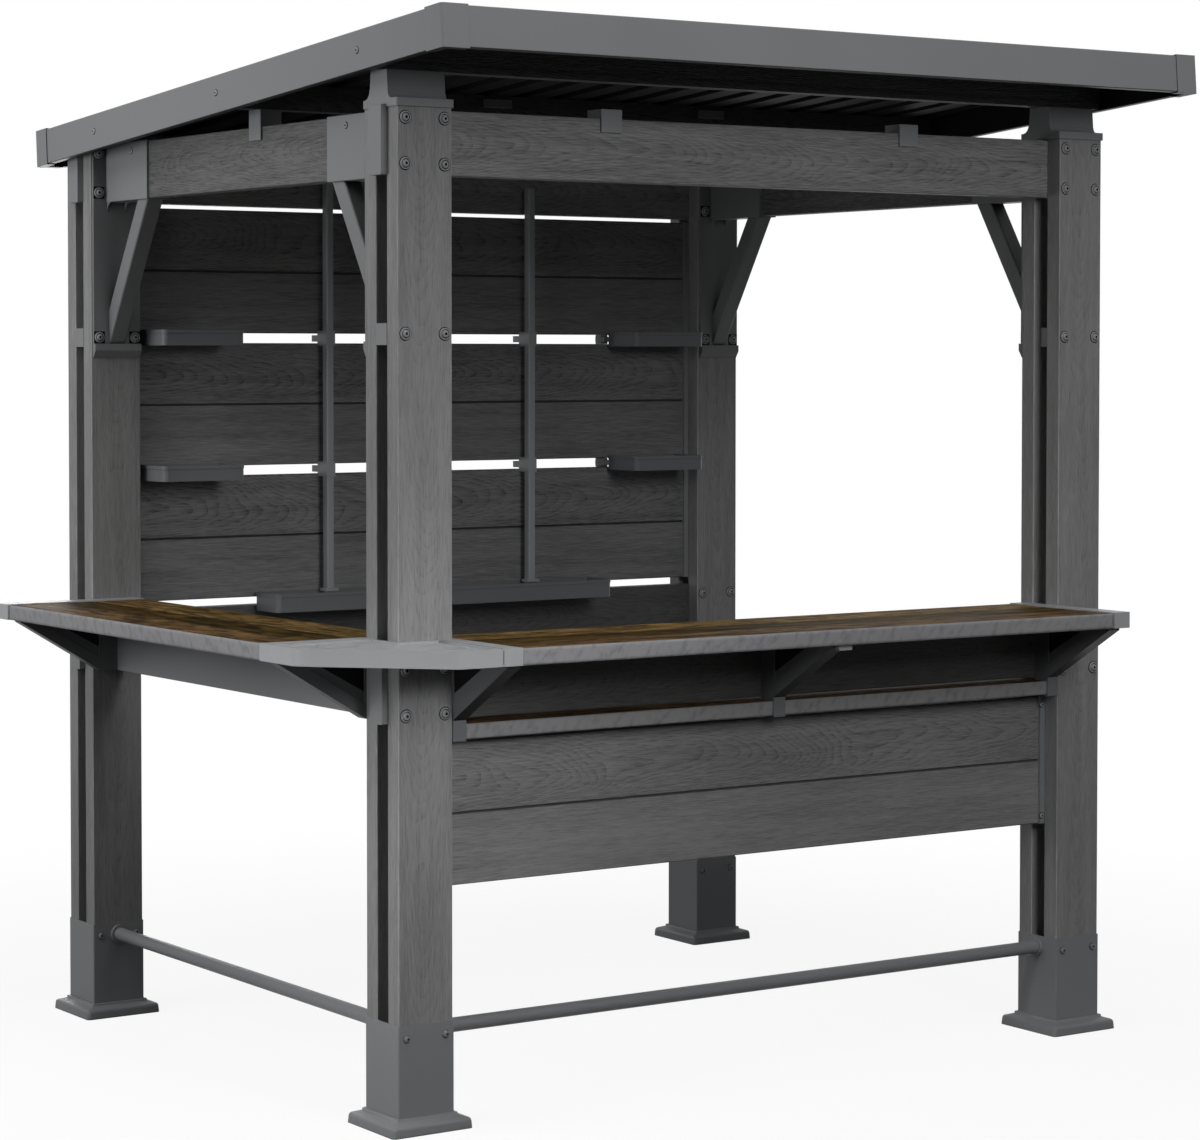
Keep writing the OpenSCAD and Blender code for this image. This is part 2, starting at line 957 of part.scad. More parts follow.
module counter_brackets() {
  color("slategray")
    translate(org) {
      for (x = [p1, brk_mid_x, span_w - p1 - brk_w])
        difference() {
          union() {
            along_x(x, brk_t)
              brk_web();
            along_x(x, brk_w)
              brk_edge();
          }
          along_x(x - 1, brk_sink + 1)
            brk_field();
        }
      for (y = [p1, span_d - p1 - brk_w - apron_cuff])
        difference() {
          union() {
            along_y(y, brk_t)
              brk_web();
            along_y(y, brk_w)
              brk_edge();
          }
          along_y(y - 1, brk_sink + 1)
            brk_field();
        }
    }
}

// Section of a wall panel of two boards, from its low front edge.
module panel_section(y, z, h) {
  m = z + h / 2;
  w = groove_w / 2;
  difference() {
    pane([y, z], [y + panel_t, z + h], edge_r);
    polygon([[y, m - w], [y + groove_d, m], [y, m + w]]);
    polygon([[y + panel_t, m - w], [y + panel_t - groove_d, m], [y + panel_t, m + w]]);
  }
}

module front_panel() {
  color("dimgray")
    translate(org)
      along_x(p1 + chan_w, in_w - 2 * chan_w)
        panel_section(panel_f, front_panel_z, front_panel_h);
}

module channels(y, z, h) {
  for (x = [p1 - chan_in, span_w - p1 - chan_w])
    box([x, y + g0, z], [x + chan_in + chan_w, y + g1, z + h]);
}

module panel_channels() {
  color("gray")
    translate(org) {
      channels(0, front_panel_z, front_panel_h);
      for (z = wall_z)
        channels(back_y, z, back_panel_h);
    }
}

module bottle_shelf() {
  color("peru")
    translate(org) {
      box([p1 + brk_w, p0, shelf_z0], [brk_mid_x, p0 + shelf_d, shelf_z1]);
      box([brk_mid_x + brk_w, p0, shelf_z0], [span_w - p1 - brk_w, p0 + shelf_d, shelf_z1]);
    }
}

module bottle_shelf_brackets() {
  color("lightslategray")
    translate(org)
      for (x = [p1, brk_mid_x, span_w - p1 - brk_w])
        box([x, p0 - shelf_front, shelf_b0], [x + brk_w, g0, brk_z]);
}

module back_wall_panels() {
  color("dimgray")
    translate(org)
      for (z = wall_z)
        along_x(p1 + chan_w, in_w - 2 * chan_w)
          panel_section(wall_y, z, back_panel_h);
}

module shelf_poles() {
  z = long_z + tray_wall;
  over = (pole_foot_w - pole_w) / 2;
  color("lightslategray")
    translate(org)
      for (x = pole_x)
        translate([x - pole_w / 2, pole_y1 - pole_d, 0]) {
          translate([0, 0, z])
            linear_extrude(beam_z0 + pole_up - z)
              pane([0, 0], [pole_w, pole_d], pole_r);
          translate([0, 0, long_z + long_h - pole_foot_h / 2])
            linear_extrude(pole_foot_h)
              pane([-over, -over], [pole_w + over, pole_d], pole_r);
        }
}

module pole_clamps() {
  w = pole_w / 2 + clamp_wall;
  color("gray")
    translate(org)
      for (x = pole_x)
        for (z = slit_z)
          difference() {
            union() {
              box([x - w, pole_y1 - pole_d - clamp_wall, z - clamp_h / 2], [x + w, wall_y, z + clamp_h / 2]);
              box([x - w, wall_y - 1, z - back_slit / 3], [x + w, wall_y + panel_t, z + back_slit / 3]);
            }
            box([x - pole_w / 2, pole_y1 - pole_d, z - clamp_h], [x + pole_w / 2, pole_y1, z + clamp_h]);
          }
}

// An open tray with a rim band, whose back lies at y.
module tray(x, y, l, d, h, z) {
  b = band_out;
  t = tray_wall + b;
  difference() {
    union() {
      translate([0, 0, z])
        linear_extrude(h)
          pane([x + b, y - d + b], [x + l - b, y - b], tray_r - b);
      translate([0, 0, z + h - band_h])
        linear_extrude(band_h)
          pane([x, y - d], [x + l, y], tray_r);
    }
    translate([0, 0, z + tray_wall])
      linear_extrude(h)
        pane([x + t, y - d + t], [x + l - t, y - t], tray_r - t);
  }
}

module long_tray() {
  color("silver")
    translate(org)
      tray(long_x, back_y + g0, long_l, long_d, long_h, long_z);
}

module small_trays() {
  color("silver")
    translate(org)
      for (x = small_x)
        for (z = slit_z) {
          tray(x, wall_y, small_l, small_d, small_h, z - small_h / 2);
          for (h = [x - hook_out, x + small_l + hook_out - hook_w])
            box([h, wall_y - tray_r, z - hook_t / 2], [h + hook_w, wall_y + panel_t, z + hook_t / 2]);
        }
}

// A foot rail tube with an end collar at each end, along X.
module foot_rail(l) {
  rotate([0, 90, 0])
    cylinder(d = foot_d, h = l);
  for (x = [0, l - collar_l])
    translate([x, 0, 0])
      rotate([0, 90, 0])
        cylinder(d = collar_d, h = collar_l);
}

module front_foot_rail() {
  color("slategray")
    translate(org + [sleeve_w, gm, foot_z])
      foot_rail(span_w - 2 * sleeve_w);
}

module left_foot_rail() {
  color("slategray")
    translate(org + [gm, sleeve_w, foot_z])
      rotate(90)
        foot_rail(span_d - 2 * sleeve_w);
}

module bottle_opener() {
  color("silver")
    translate(org)
      translate([brk_mid_x + opener_side, -brk_out - opener_gap - opener_d, rail_top - opener_h])
        cube([opener_l, opener_d, opener_h]);
}

front_left_post();
front_right_post();
back_left_post();
back_right_post();
post_spacers();
post_sleeves();
base_covers();
front_top_beam();
back_top_beam();
left_top_beam();
right_top_beam();
beam_sleeves();
end_caps();
front_bar_rail();
back_bar_rail();
left_apron();
left_knee_braces();
right_knee_braces();
front_post_caps();
front_purlin();
mid_purlin();
rear_purlin();
roof_sheet();
front_fascia();
back_fascia();
side_fascias();
fascia_corners();
beam_saddles();
front_counter();
left_counter();
counter_trims();
corner_tray();
counter_brackets();
front_panel();
panel_channels();
bottle_shelf();
bottle_shelf_brackets();
back_wall_panels();
shelf_poles();
pole_clamps();
long_tray();
small_trays();
front_foot_rail();
left_foot_rail();
bottle_opener();
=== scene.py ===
# %% [markdown]
# # A garden bar gazebo
# The object is an open garden bar: four posts of two planks each, a shed roof, a bar
# counter on two sides and a boarded back wall with hanging trays. The solids come from
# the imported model, so this lesson dresses them: finishes, bolts, counter boards, the moulded
# feet and light.

# %% Load the frame
import math

import bmesh
import bpy
from mathutils import Matrix, Vector, noise


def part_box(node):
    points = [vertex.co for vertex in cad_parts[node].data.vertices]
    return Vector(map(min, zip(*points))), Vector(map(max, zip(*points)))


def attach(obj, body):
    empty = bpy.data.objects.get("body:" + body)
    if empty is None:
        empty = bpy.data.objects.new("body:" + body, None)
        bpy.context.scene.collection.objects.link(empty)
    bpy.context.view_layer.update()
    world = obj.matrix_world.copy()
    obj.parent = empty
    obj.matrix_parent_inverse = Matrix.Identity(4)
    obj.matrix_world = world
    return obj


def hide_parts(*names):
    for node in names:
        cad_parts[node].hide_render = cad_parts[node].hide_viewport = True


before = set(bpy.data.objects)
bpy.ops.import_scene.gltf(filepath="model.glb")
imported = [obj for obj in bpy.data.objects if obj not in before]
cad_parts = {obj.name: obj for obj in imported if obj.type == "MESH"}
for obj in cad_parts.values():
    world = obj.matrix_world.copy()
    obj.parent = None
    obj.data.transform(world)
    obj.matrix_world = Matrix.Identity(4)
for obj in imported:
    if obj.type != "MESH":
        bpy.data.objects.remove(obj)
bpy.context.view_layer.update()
print("CAD nodes:", len(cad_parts))

# %% [markdown]
# Sizes are easiest to read in millimetres from one corner of the object. The post sleeves
# start at the outer corner of the front left post, so that corner is used as the zero point.

# %% Measure from the front left post
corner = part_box("post_sleeves")[0]
far_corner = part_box("post_sleeves")[1]


def mm(x, y, z):
    return Vector((corner.x + x / 1000, corner.y + y / 1000, z / 1000))


span_w = (far_corner.x - corner.x) * 1000
span_d = (far_corner.y - corner.y) * 1000
post_w = 140.0                          # outer side of a post sleeve
plank_face = 2.0                        # the planks lie this far behind the sleeve's face
plank_in = post_w - plank_face          # inner face of a post's planks
right_x, back_y = span_w - post_w, span_d - post_w
print("over the posts: %.0f x %.0f mm" % (span_w, span_d))

# %% [markdown]
# The photograph was taken with a long lens from the front left, at about eye level. Its upright
# lines stay nearly upright: the camera is tilted by less than two degrees, and the frame is
# shifted down for the rest.

# %% Camera
picture_w, picture_h = 1200, 1140
focal_px = 3247.48                      # focal length in pixels of that picture
axis_x, axis_y = 561.3, 461.4           # where the line of sight meets it
eye = mm(-3543.5, -5937.9, 1666.1)
turn = math.radians(-33.7146)
tilt = math.radians(1.8376)
look = Vector((-math.sin(turn) * math.cos(tilt), math.cos(turn) * math.cos(tilt),
               -math.sin(tilt)))
lens = bpy.data.cameras.new("camera")
lens.sensor_width = 36.0
lens.lens = focal_px * lens.sensor_width / picture_w
lens.shift_x = (picture_w / 2 - axis_x) / picture_w
lens.shift_y = -(picture_h / 2 - axis_y) / picture_w
lens.clip_end = 100
camera = bpy.data.objects.new("camera", lens)
camera.matrix_world = (Matrix.Translation(eye)
                       @ look.to_track_quat("-Z", "Y").to_matrix().to_4x4())
bpy.context.scene.collection.objects.link(camera)
bpy.context.scene.camera = camera
print("lens %.1f mm, shift %.3f %.3f" % (lens.lens, lens.shift_x, lens.shift_y))

# %% [markdown]
# A material is a small tree of nodes. One function adds a node: its sockets take a number,
# a colour or another node's output, and its settings are plain attributes.
# Colours are written as the hex values one reads off a screen, and turned to linear light.

# %% Helpers for materials


def colour(hex_value):
    out = []
    for i in (0, 2, 4):
        c = int(hex_value[i:i + 2], 16) / 255
        out.append(c / 12.92 if c <= 0.04045 else ((c + 0.055) / 1.055) ** 2.4)
    return (*out, 1.0)


def add(tree, kind, sockets=None, **settings):
    new = tree.nodes.new("ShaderNode" + kind)
    for key, value in settings.items():
        setattr(new, key, value)
    for key, value in (sockets or {}).items():
        if isinstance(value, bpy.types.NodeSocket):
            tree.links.new(value, new.inputs[key])
        else:
            new.inputs[key].default_value = value
    return new


def blank(name):
    made = bpy.data.materials.new(name)
    made.use_nodes = True
    made.node_tree.nodes.clear()
    return made, made.node_tree


# %% [markdown]
# ## Light and floor
# A studio picture of a dark object: soft lamps on the left give the left faces their lighter
# tone, soft lamps in front and above light the front, and two weaker ones keep the back and the
# right side from going black. Two small lamps with a grid, which narrows their beam, lift only
# the near post. The background is white to the camera and to reflections only, so it puts no
# extra light on the object.

# %% World
world = bpy.data.worlds.new("studio")
world.use_nodes = True
sky = world.node_tree
sky.nodes.clear()
path = add(sky, "LightPath").outputs
seen = add(sky, "Math", {0: path["Is Camera Ray"], 1: path["Is Glossy Ray"]},
           operation="MAXIMUM").outputs[0]
seen = add(sky, "Math", {0: seen, 1: path["Is Transmission Ray"]}, operation="MAXIMUM").outputs[0]
fill = add(sky, "Background", {"Color": (1, 1, 1, 1), "Strength": 0.01}).outputs[0]
white = add(sky, "Background", {"Color": (1, 1, 1, 1), "Strength": 1.0}).outputs[0]
both = add(sky, "MixShader", {0: seen, 1: fill, 2: white}).outputs[0]
add(sky, "OutputWorld", {"Surface": both})
bpy.context.scene.world = world
bpy.context.scene.view_settings.view_transform = "Standard"
print("background white, hardly any fill")

# %% Lamps


def lamp(name, place, aim, size, watts, spread=180):
    data = bpy.data.lights.new(name, "AREA")
    data.size = size
    data.energy = watts
    data.spread = math.radians(spread)
    made = bpy.data.objects.new(name, data)
    way = Vector(aim) - Vector(place)
    spin = way.to_track_quat("-Z", "Y").to_matrix().to_4x4()
    made.matrix_world = Matrix.Translation(Vector(place)) @ spin
    bpy.context.scene.collection.objects.link(made)


# what the lamps point at, in metres
middle = (0, 0, 1.1)
near_post, near_foot = (-0.95, -0.8, 0.9), (-0.95, -0.75, 0.5)
lamp("left_softbox_back", (-3.6, 0.9, 1.9), middle, 1.2, 32)
lamp("left_softbox_front", (-3.4, -0.3, 1.9), middle, 1.0, 10)
lamp("left_softbox_high", (-3.4, 0.2, 3.8), middle, 1.2, 22)
lamp("corner_softbox", (-3.0, -1.5, 5.5), middle, 2.0, 24)
lamp("front_softbox", (-0.4, -5.8, 3.3), middle, 2.0, 96)
lamp("front_softbox_high", (0.0, -5.0, 5.3), middle, 3.0, 50)
lamp("top_softbox", (-0.7, -2.4, 6.5), middle, 2.0, 60)
lamp("post_grid_front", (-0.7, -3.4, 1.7), near_post, 0.5, 1.1, 40)
lamp("post_grid_left", (-3.2, -0.9, 0.95), near_foot, 0.3, 1.1, 40)
lamp("back_softbox", (0.8, 5.4, 1.3), middle, 1.8, 50)
lamp("right_softbox", (5.2, 1.2, 1.3), middle, 1.8, 22)
print("nine soft lamps and two small ones with a grid")

# %% [markdown]
# The floor is white paper. It keeps a faint shadow near the object and fades into the white
# background 3.6 m out, so no edge shows. To the object it is dark, or it would light the
# underside of the roof, which is nearly black in the photograph.

# %% Floor
floor_mesh = bpy.data.meshes.new("floor")
half = 9
floor_corners = [(-half, -half, 0), (half, -half, 0), (half, half, 0), (-half, half, 0)]
floor_mesh.from_pydata(floor_corners, [], [(0, 1, 2, 3)])
floor = bpy.data.objects.new("floor", floor_mesh)
floor.location.z = -0.0005              # just under the feet, so that no faces coincide
bpy.context.scene.collection.objects.link(floor)
paper, tree = blank("white_paper_floor")
path = add(tree, "LightPath").outputs
seen = add(tree, "Math", {0: path["Is Camera Ray"], 1: path["Is Glossy Ray"]},
           operation="MAXIMUM").outputs[0]
place = add(tree, "TexCoord").outputs["Object"]
reach = add(tree, "VectorMath", {0: place}, operation="LENGTH").outputs["Value"]
share = add(tree, "MapRange", {0: reach, 1: 1.5, 2: 3.6, 3: 0.9, 4: 1.0}).outputs[0]
share = add(tree, "Math", {0: seen, 1: share}, operation="MULTIPLY").outputs[0]
paint = add(tree, "Mix", {0: seen, 6: colour("303030"), 7: colour("ffffff")},
            data_type="RGBA").outputs[2]
lit = add(tree, "BsdfDiffuse", {"Color": paint}).outputs[0]
glow = add(tree, "Emission", {"Color": (1, 1, 1, 1), "Strength": 1.0}).outputs[0]
both = add(tree, "MixShader", {0: share, 1: lit, 2: glow}).outputs[0]
add(tree, "OutputMaterial", {"Surface": both})
floor_mesh.materials.append(paper)
print("floor %d x %d m" % (2 * half, 2 * half))

# %% [markdown]
# ## Moulded resin with an embossed wood grain
# The planks, beams and panels are hollow resin boards pressed with a wood grain. Down the middle
# of a board run nested arches, and towards its edges they become long lines. That is what the
# contour lines of "distance along the board plus distance from its middle" look like, so the
# arches are worked out from the place of each board. Slow noise bends them, a quick one breaks
# them into dashes, and a stretched one adds the fibres. All of it lifts the surface too. Rounded
# edges get painted light, told by a normal that points along no single axis: a painted highlight
# on posts and beams, painted shade in the grooves of panels and wall.

# %% Grained resin
arch_step = 0.046       # from arch to arch along the middle of a board, in metres
line_step = 0.007       # from line to line over the thickness of a board


def grained_resin(name, along, across, rows, base, late, painted_edge_light_and_shade, way=1):
    """rows: start of the first board, step to its repeat, its width, arches in the lowest row."""
    zero, repeat, width, plain = rows
    depth = ({"X", "Y", "Z"} - {along, across}).pop()
    axis, side = "XYZ".index(along), "XYZ".index(across)
    made, tree = blank(name)
    place = add(tree, "TexCoord").outputs["Object"]
    axes = add(tree, "SeparateXYZ", {0: place}).outputs

    # place on the board: its row, and how far from the middle
    rise = add(tree, "Math", {0: axes[across], 1: zero}, operation="SUBTRACT").outputs[0]
    rise = add(tree, "Math", {0: rise, 1: repeat}, operation="FLOORED_MODULO").outputs[0]
    rise = add(tree, "Math", {0: rise, 1: width}, operation="DIVIDE").outputs[0]
    row = add(tree, "Math", {0: rise}, operation="FLOOR").outputs[0]
    off = add(tree, "Math", {0: rise}, operation="FRACT").outputs[0]
    off = add(tree, "Math", {0: off, 1: 0.5}, operation="SUBTRACT").outputs[0]
    off = add(tree, "Math", {0: off}, operation="ABSOLUTE").outputs[0]
    off = add(tree, "Math", {0: off, 1: 2.0}, operation="POWER").outputs[0]

    # arches: bent by slow noise, then broken into dashes
    # (scales are waves per metre, across the board and then along it)
    slow, quick, fine = [6.0] * 3, [190.0] * 3, [460.0] * 3
    slow[axis], quick[axis], fine[axis] = 2.3, 30.0, 20.0
    bend = add(tree, "Mapping", {"Vector": place, "Scale": slow}).outputs[0]
    bend = add(tree, "TexNoise", {"Vector": bend, "Scale": 1.0, "Detail": 2.0,
                                  "Roughness": 0.4}).outputs[0]
    turns = add(tree, "Math", {0: axes[along], 1: way / arch_step}, operation="MULTIPLY").outputs[0]
    turns = add(tree, "Math", {0: off, 1: 28.0, 2: turns}, operation="MULTIPLY_ADD").outputs[0]
    turns = add(tree, "Math", {0: bend, 1: 15.0, 2: turns}, operation="MULTIPLY_ADD").outputs[0]
    turns = add(tree, "Math", {0: axes[depth], 1: 1 / line_step, 2: turns},
                operation="MULTIPLY_ADD").outputs[0]
    turns = add(tree, "Math", {0: turns}, operation="FRACT").outputs[0]
    line = add(tree, "Math", {0: turns, 1: 2.6}, operation="POWER").outputs[0]
    dash = add(tree, "Mapping", {"Vector": place, "Scale": quick}).outputs[0]
    dash = add(tree, "TexNoise", {"Vector": dash, "Scale": 1.0, "Detail": 2.0}).outputs[0]
    dash = add(tree, "MapRange", {0: dash, 1: 0.4, 2: 0.6, 3: 0.1, 4: 1.0}).outputs[0]
    line = add(tree, "Math", {0: line, 1: dash}, operation="MULTIPLY").outputs[0]
    share = add(tree, "Math", {0: row, 1: plain}, operation="MAXIMUM").outputs[0]
    line = add(tree, "Math", {0: line, 1: share}, operation="MULTIPLY").outputs[0]

    # fibres everywhere, and slow clouds along the grain
    fibre = add(tree, "Mapping", {"Vector": place, "Scale": fine}).outputs[0]
    fibre = add(tree, "TexNoise", {"Vector": fibre, "Scale": 1.0, "Detail": 3.0,
                                   "Roughness": 0.62}).outputs[0]
    streak = [45.0] * 3
    streak[axis] = 2.5
    streak = add(tree, "Mapping", {"Vector": place, "Scale": streak}).outputs[0]
    streak = add(tree, "TexNoise", {"Vector": streak, "Scale": 1.0, "Detail": 2.0}).outputs[0]
    both = add(tree, "Math", {0: line, 1: 0.36, 2: fibre}, operation="MULTIPLY_ADD").outputs[0]
    dark = add(tree, "Math", {0: streak, 1: 0.5, 2: both}, operation="MULTIPLY_ADD").outputs[0]
    dark = add(tree, "MapRange", {0: dark, 1: 0.58, 2: 1.24}).outputs[0]
    paint = add(tree, "Mix", {0: dark, 6: colour(base), 7: colour(late)},
                data_type="RGBA").outputs[2]
    shade = add(tree, "MapRange", {0: bend, 1: 0.3, 2: 0.7, 3: 0.93, 4: 1.07}).outputs[0]

    # painted light on rounded edges: a highlight where the factor is above 1, shade in the grooves
    # where it is below
    facing = add(tree, "NewGeometry").outputs["Normal"]
    facing = add(tree, "VectorMath", {0: facing}, operation="ABSOLUTE").outputs[0]
    facing = add(tree, "SeparateXYZ", {0: facing}).outputs
    most = add(tree, "Math", {0: facing[0], 1: facing[1]}, operation="MAXIMUM").outputs[0]
    most = add(tree, "Math", {0: most, 1: facing[2]}, operation="MAXIMUM").outputs[0]
    edge = add(tree, "MapRange", {0: most, 1: 0.96, 2: 0.8, 3: 1.0, 4: painted_edge_light_and_shade}).outputs[0]
    shade = add(tree, "Math", {0: shade, 1: edge}, operation="MULTIPLY").outputs[0]

    paint = add(tree, "VectorMath", {0: paint, 3: shade}, operation="SCALE").outputs[0]
    rough = add(tree, "MapRange", {0: fibre, 1: 0.3, 2: 0.7, 3: 0.5, 4: 0.64}).outputs[0]
    raised = add(tree, "Bump", {"Strength": 0.7, "Distance": 0.0013, "Height": both},
                 invert=True).outputs[0]
    skin = add(tree, "BsdfPrincipled", {"Base Color": paint, "Roughness": rough, "Normal": raised,
                                        "Specular IOR Level": 0.1})
    add(tree, "OutputMaterial", {"Surface": skin.outputs[0]})
    return made


# %% [markdown]
# Each kind of board has its own rows. Panels are pressed as two boards in one, the upper one with
# arches and the lower one nearly straight. Beams and planks are one board each. The first colour
# is the matt ground, the second the dark late wood of the grain. Posts get a painted highlight on
# their edges, and the grooves between panel boards get painted shade.

# %% Resin boards of each kind
plank_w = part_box("front_left_post")[1].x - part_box("front_left_post")[0].x
plank_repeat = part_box("front_right_post")[0].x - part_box("front_left_post")[0].x
beam_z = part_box("front_top_beam")[0].z
beam_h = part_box("front_top_beam")[1].z - beam_z
panel_z, panel_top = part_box("front_panel")[0].z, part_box("front_panel")[1].z
wall_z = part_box("back_wall_panels")[0].z
wall_repeat = (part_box("back_wall_panels")[1].z - wall_z - (panel_top - panel_z)) / 2
plank_rows = (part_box("front_left_post")[0].x, plank_repeat, plank_w, 0.6)
beam_rows = (beam_z, 1.0, beam_h, 0.8)
panel_rows = (panel_z, 1.0, (panel_top - panel_z) / 2, 0.12)
wall_rows = (wall_z, wall_repeat, (panel_top - panel_z) / 2, 0.12)
rail_rows = (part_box("front_bar_rail")[0].z, 1.0, beam_h, 0.8)
resin_z = grained_resin("embossed_resin_post", "Z", "X", plank_rows, "919191", "666666", 1.45, -1)
resin_x = grained_resin("embossed_resin_front_beam", "X", "Z", beam_rows, "8c8c8c", "464646", 1.1)
resin_y = grained_resin("embossed_resin_side_beam", "Y", "Z", beam_rows, "727272", "333333", 1.1)
resin_panel = grained_resin(
    "embossed_resin_front_panel", "X", "Z", panel_rows, "8d8d8d", "565656", 0.35)
resin_wall = grained_resin(
    "embossed_resin_back_wall", "X", "Z", wall_rows, "808080", "3c3c3c", 0.35)
# rails and purlins: darker copies of the beam resin, painted shade under the counter and under the
# roof
painted_shade_resin_rail = grained_resin(
    "embossed_resin_bar_rail_painted_shade", "X", "Z", rail_rows, "595959", "393939", 1.1)
painted_shade_resin_purlin = grained_resin(
    "embossed_resin_purlin_painted_shade", "X", "Z", rail_rows, "474747", "2c2c2c", 1.0)
print("grained resin: posts, beams, rails, purlins, front panel, back wall")

# %% [markdown]
# ## Powder-coated steel and aluminium
# Sleeves, caps, braces and the fascia are sprayed with a powder that melts to a satin skin.
# Close up it has a slight orange peel. The real peel is about 1 mm wide and too fine to show,
# so it is drawn 4 mm wide. A bevel node rounds the look of the folded edges. The knee braces lie
# in shade under the beams, so their coat gets painted shade in hollows up to 120 mm deep.

# %% Powder coat


def powder_coat(name, base, shade_range, roughness, gloss=0.16, hollow=0.0):
    made, tree = blank(name)
    place = add(tree, "TexCoord").outputs["Object"]
    peel = add(tree, "TexNoise", {"Vector": place, "Scale": 250.0, "Detail": 1.0}).outputs[0]
    cloud = add(tree, "TexNoise", {"Vector": place, "Scale": 3.1, "Detail": 3.0}).outputs[0]
    shade = add(tree, "MapRange", {0: cloud, 1: 0.3, 2: 0.7,
                                   3: shade_range[0], 4: shade_range[1]}).outputs[0]
    paint = add(tree, "VectorMath", {0: colour(base)[:3], 3: shade}, operation="SCALE").outputs[0]
    # painted shade: the colour darkens in hollows, told by an ambient occlusion node
    if hollow:
        painted_hollow_shade = add(tree, "AmbientOcclusion", {"Distance": hollow}, samples=6).outputs["AO"]
        painted_hollow_shade = add(tree, "MapRange", {0: painted_hollow_shade, 1: 0.25, 2: 0.7, 3: 0.15, 4: 1.0}).outputs[0]
        paint = add(tree, "VectorMath", {0: paint, 3: painted_hollow_shade}, operation="SCALE").outputs[0]
    rough = add(tree, "MapRange", {0: cloud, 1: 0.3, 2: 0.7,
                                   3: roughness - 0.04, 4: roughness + 0.05}).outputs[0]
    edge = add(tree, "Bevel", {"Radius": 0.0016}, samples=4).outputs[0]
    raised = add(tree, "Bump", {"Strength": 0.06, "Distance": 0.0006, "Height": peel,
                                "Normal": edge}).outputs[0]
    skin = add(tree, "BsdfPrincipled", {"Base Color": paint, "Roughness": rough, "Normal": raised,
                                        "Specular IOR Level": gloss})
    add(tree, "OutputMaterial", {"Surface": skin.outputs[0]})
    return made


# satin charcoal: the smooth metal of sleeves, caps and rails
charcoal_coat = powder_coat("powder_coated_steel_charcoal", "7e8082", (0.96, 1.04), 0.46)
# the same a shade darker and smoother: the clean roof edge
fascia_coat = powder_coat("powder_coated_aluminium_fascia", "7b7d7f", (0.97, 1.03), 0.44)
# dull and dark: sheet that hardly mirrors the sky
roof_coat = powder_coat("coil_coated_roof_steel", "47494b", (0.94, 1.06), 0.5, 0.05)
# pale and a little glossy: the cup tray and the end strips stand out from the planks
light_coat = powder_coat("moulded_resin_light_grey", "9c9ea0", (0.97, 1.03), 0.42, 0.3)
# blue-grey resin: shelves and trays against the black wall
tray_coat = powder_coat("moulded_resin_tray_grey", "66696b", (0.97, 1.03), 0.45)
# lighter, with a narrow gloss down each edge: thin poles that still show in the shade
pole_coat = powder_coat("powder_coated_steel_pole", "8a8d8f", (0.97, 1.03), 0.42, 0.3)
# satin, with painted shade where plates and struts meet
knee_coat = powder_coat("powder_coated_steel_knee", "767879", (0.96, 1.04), 0.46, 0.16, 0.12)
# satin and darker than the knee coat, as painted shade: brackets in the shade of the counter
bracket_coat_painted_shade = powder_coat("powder_coated_steel_bracket_painted_shade", "6c6e6f", (0.96, 1.04), 0.46, 0.1)
# smooth grey heads, and black for the painted shade that outlines them, the dark seats and the tray
# seam
bolt_grey = powder_coat("grey_coated_bolt", "939598", (0.95, 1.05), 0.4)
bolt_dark = powder_coat("charcoal_coated_bolt", "747678", (0.95, 1.05), 0.4)
black_painted_shade_and_seams = powder_coat("black_painted_shade_seats_and_seam", "141415", (0.9, 1.1), 0.6, 0.05)
print("powder coats")

# %% [markdown]
# Roof sheet, fascias and counter brackets get painted shade on their back: charcoal on the side
# that shows, and nearly black on the back, which is what one sees from under the roof. The back is
# told by its normal: on the roof and the brackets it points down, on a fascia towards the middle
# of the object.

# %% Painted shade on the back of roof, fascia and brackets


def paint_shade_on_back(material, front):
    """front: the way the shown side looks, or None where it looks away from the middle."""
    tree = material.node_tree
    skin = next(n for n in tree.nodes if n.type == "BSDF_PRINCIPLED")
    shown = skin.inputs["Base Color"].links[0].from_socket
    facing = add(tree, "NewGeometry").outputs["Normal"]
    outward = add(tree, "TexCoord").outputs["Object"] if front is None else front
    side = add(tree, "VectorMath", {0: facing, 1: outward},
               operation="DOT_PRODUCT").outputs["Value"]
    side = add(tree, "MapRange", {0: side, 1: -0.15, 2: -0.05}).outputs[0]
    # painted shade: faces turned away from the shown side are nearly black
    paint = add(tree, "Mix", {0: side, 6: colour("070708"), 7: shown},
                data_type="RGBA").outputs[2]
    tree.links.new(paint, skin.inputs["Base Color"])


up = (0, 0, 1)
paint_shade_on_back(roof_coat, up)
paint_shade_on_back(fascia_coat, None)
paint_shade_on_back(bracket_coat_painted_shade, up)
# the dark back is painted shade
print("dark primer behind roof and fascia, and under the brackets")

# %% [markdown]
# Every carried-over solid takes the finish of its slot: grain along the length of its board.

